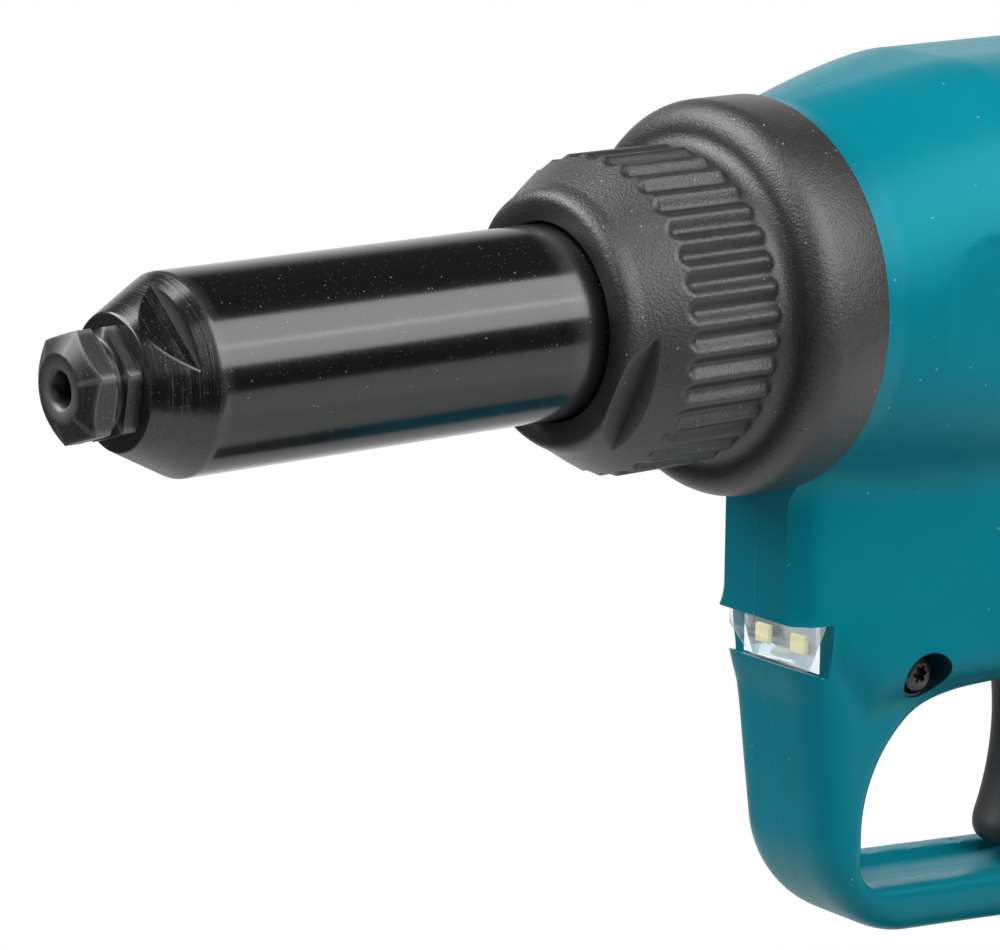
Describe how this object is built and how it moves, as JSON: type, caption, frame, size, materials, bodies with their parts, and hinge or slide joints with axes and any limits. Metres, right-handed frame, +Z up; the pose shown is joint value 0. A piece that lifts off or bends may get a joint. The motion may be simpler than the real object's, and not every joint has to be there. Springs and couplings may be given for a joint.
{
  "type": "battery rivet tool",
  "caption": "Cordless blind rivet tool: tubular pulling head held by a ribbed ring nut, pistol grip with guarded trigger, clear mandrel pot and slide-on battery.",
  "frame": {"origin": "under the middle of the tool's length, on the surface that the battery stands on", "axes": "+X forward along the nose axis, +Y to the tool's left, +Z up"},
  "size_m": [0.3135, 0.075, 0.285],
  "materials": {
    "teal_housing": "fine moulded grain",
    "black_steel": "black oxide, oiled",
    "ribbed_plastic": "coarse moulded grain",
    "dark_plastic": "satin",
    "steel": "ground",
    "aluminium": "die cast",
    "bronze": "turned",
    "copper": "enamelled wire",
    "circuit_board": "solder mask",
    "clear_plastic": "clear",
    "cell_wrap": "shrink wrap"
  },
  "bodies": {
    "housing": {"housing_left": "teal_housing", "housing_right": "teal_housing", "housing_screws": "black_steel", "gear_case": "aluminium", "gear_case_cover": "aluminium", "gear_case_screws": "black_steel", "guide_bush": "bronze", "thrust_bearing": "steel", "nut_bearing": "steel", "ring_gear": "steel", "carrier_bearing": "steel", "front_motor_bearing": "steel", "rear_motor_bearing": "steel", "motor_stator": "steel", "motor_windings": "copper", "sensor_board": "circuit_board", "motor_leads": "dark_plastic", "switch_body": "dark_plastic", "control_board": "circuit_board", "terminal_block": "dark_plastic", "led_lens": "clear_plastic", "led_board": "circuit_board", "mandrel_pipe": "dark_plastic"},
    "head": {"head_sleeve": "black_steel", "nosepiece": "black_steel"},
    "ring": {"ring_nut": "ribbed_plastic"},
    "screw": {"ball_screw": "steel", "screw_coupling": "black_steel", "jaw_case": "steel", "jaw_spring": "steel"},
    "pusher": {"jaw_pusher": "steel"},
    "jaw_a": {"jaw_1": "steel"},
    "jaw_b": {"jaw_2": "steel"},
    "jaw_c": {"jaw_3": "steel"},
    "nut": {"ball_nut": "steel", "nut_gear": "steel"},
    "carrier": {"planet_carrier": "steel", "planet_pins": "steel"},
    "planet_a": {"planet_gear_1": "steel"},
    "planet_b": {"planet_gear_2": "steel"},
    "planet_c": {"planet_gear_3": "steel"},
    "rotor": {"rotor_shaft": "steel", "rotor_core": "steel", "motor_fan": "dark_plastic"},
    "trigger": {"trigger": "dark_plastic"},
    "battery": {"battery_case_upper": "dark_plastic", "battery_case_lower": "dark_plastic", "battery_cells": "cell_wrap", "battery_board": "circuit_board", "battery_contacts": "bronze", "battery_screws": "black_steel", "button_spring": "steel"},
    "button": {"battery_button": "dark_plastic"},
    "container": {"mandrel_container": "clear_plastic"}
  },
  "joints": [
    {"name": "rotor_spin", "type": "hinge", "parent": "housing", "child": "rotor", "pos_m": [-0.05575, 0, 0.211], "axis": [1, 0, 0], "range_deg": [0, 46800]},
    {"name": "carrier_spin", "type": "hinge", "parent": "housing", "child": "carrier", "pos_m": [-0.01075, 0, 0.211], "axis": [1, 0, 0], "range_deg": [-5, 9365]},
    {"name": "planet_a_spin", "type": "hinge", "parent": "carrier", "child": "planet_a", "pos_m": [-0.02525, 0, 0.22], "axis": [1, 0, 0], "range_deg": [-24965, 5]},
    {"name": "planet_b_spin", "type": "hinge", "parent": "carrier", "child": "planet_b", "pos_m": [-0.02525, -0.00779, 0.2065], "axis": [1, 0, 0], "range_deg": [-24965, 5]},
    {"name": "planet_c_spin", "type": "hinge", "parent": "carrier", "child": "planet_c", "pos_m": [-0.02525, 0.00779, 0.2065], "axis": [1, 0, 0], "range_deg": [-24965, 5]},
    {"name": "nut_spin", "type": "hinge", "parent": "housing", "child": "nut", "pos_m": [-0.00975, 0, 0.249], "axis": [1, 0, 0], "range_deg": [-4325, 5]},
    {"name": "screw_pull", "type": "slide", "parent": "housing", "child": "screw", "axis": [-1, 0, 0], "range_m": [0, 0.03]},
    {"name": "jaw_push", "type": "slide", "parent": "screw", "child": "pusher", "axis": [-1, 0, 0], "range_m": [0, 0.0025], "stiffness_N_per_m": 1500, "springref_m": -0.003, "deforming": ["jaw_spring"]},
    {"name": "jaw_a_open", "type": "slide", "parent": "screw", "child": "jaw_a", "axis": [-0.9903, 0, 0.1392], "range_m": [0, 0.00253]},
    {"name": "jaw_b_open", "type": "slide", "parent": "screw", "child": "jaw_b", "axis": [-0.9903, -0.1205, -0.0696], "range_m": [0, 0.00253]},
    {"name": "jaw_c_open", "type": "slide", "parent": "screw", "child": "jaw_c", "axis": [-0.9903, 0.1205, -0.0696], "range_m": [0, 0.00253]},
    {"name": "ring_turn", "type": "hinge", "parent": "head", "child": "ring", "pos_m": [0.04425, 0, 0.249], "axis": [1, 0, 0], "range_deg": [0, 720]},
    {"name": "head_release", "type": "slide", "parent": "housing", "child": "head", "axis": [1, 0, 0], "range_m": [0, 0.004]},
    {"name": "trigger_pull", "type": "slide", "parent": "housing", "child": "trigger", "axis": [-1, 0, 0], "range_m": [0, 0.0055], "stiffness_N_per_m": 800, "springref_m": -0.004},
    {"name": "battery_slide", "type": "slide", "parent": "housing", "child": "battery", "axis": [1, 0, 0], "range_m": [0, 0.1]},
    {"name": "button_press", "type": "slide", "parent": "battery", "child": "button", "axis": [0, 0, -1], "range_m": [0, 0.004], "stiffness_N_per_m": 600, "springref_m": -0.003, "deforming": ["button_spring"]},
    {"name": "container_pull", "type": "slide", "parent": "housing", "child": "container", "axis": [-1, 0, 0], "range_m": [0, 0.055]}
  ],
  "couplings": [
    {"joint": "rotor_spin", "follows": "screw_pull", "rad_per_m": 27227},
    {"joint": "carrier_spin", "follows": "screw_pull", "rad_per_m": 5445.4},
    {"joint": "planet_a_spin", "follows": "screw_pull", "rad_per_m": -14521},
    {"joint": "planet_b_spin", "follows": "screw_pull", "rad_per_m": -14521},
    {"joint": "planet_c_spin", "follows": "screw_pull", "rad_per_m": -14521},
    {"joint": "nut_spin", "follows": "screw_pull", "rad_per_m": -2513.3},
    {"joint": "jaw_a_open", "follows": "jaw_push", "ratio": 1.0098},
    {"joint": "jaw_b_open", "follows": "jaw_push", "ratio": 1.0098},
    {"joint": "jaw_c_open", "follows": "jaw_push", "ratio": 1.0098},
    {"joint": "head_release", "follows": "ring_turn", "m_per_rad": 0.0003183}
  ]
}
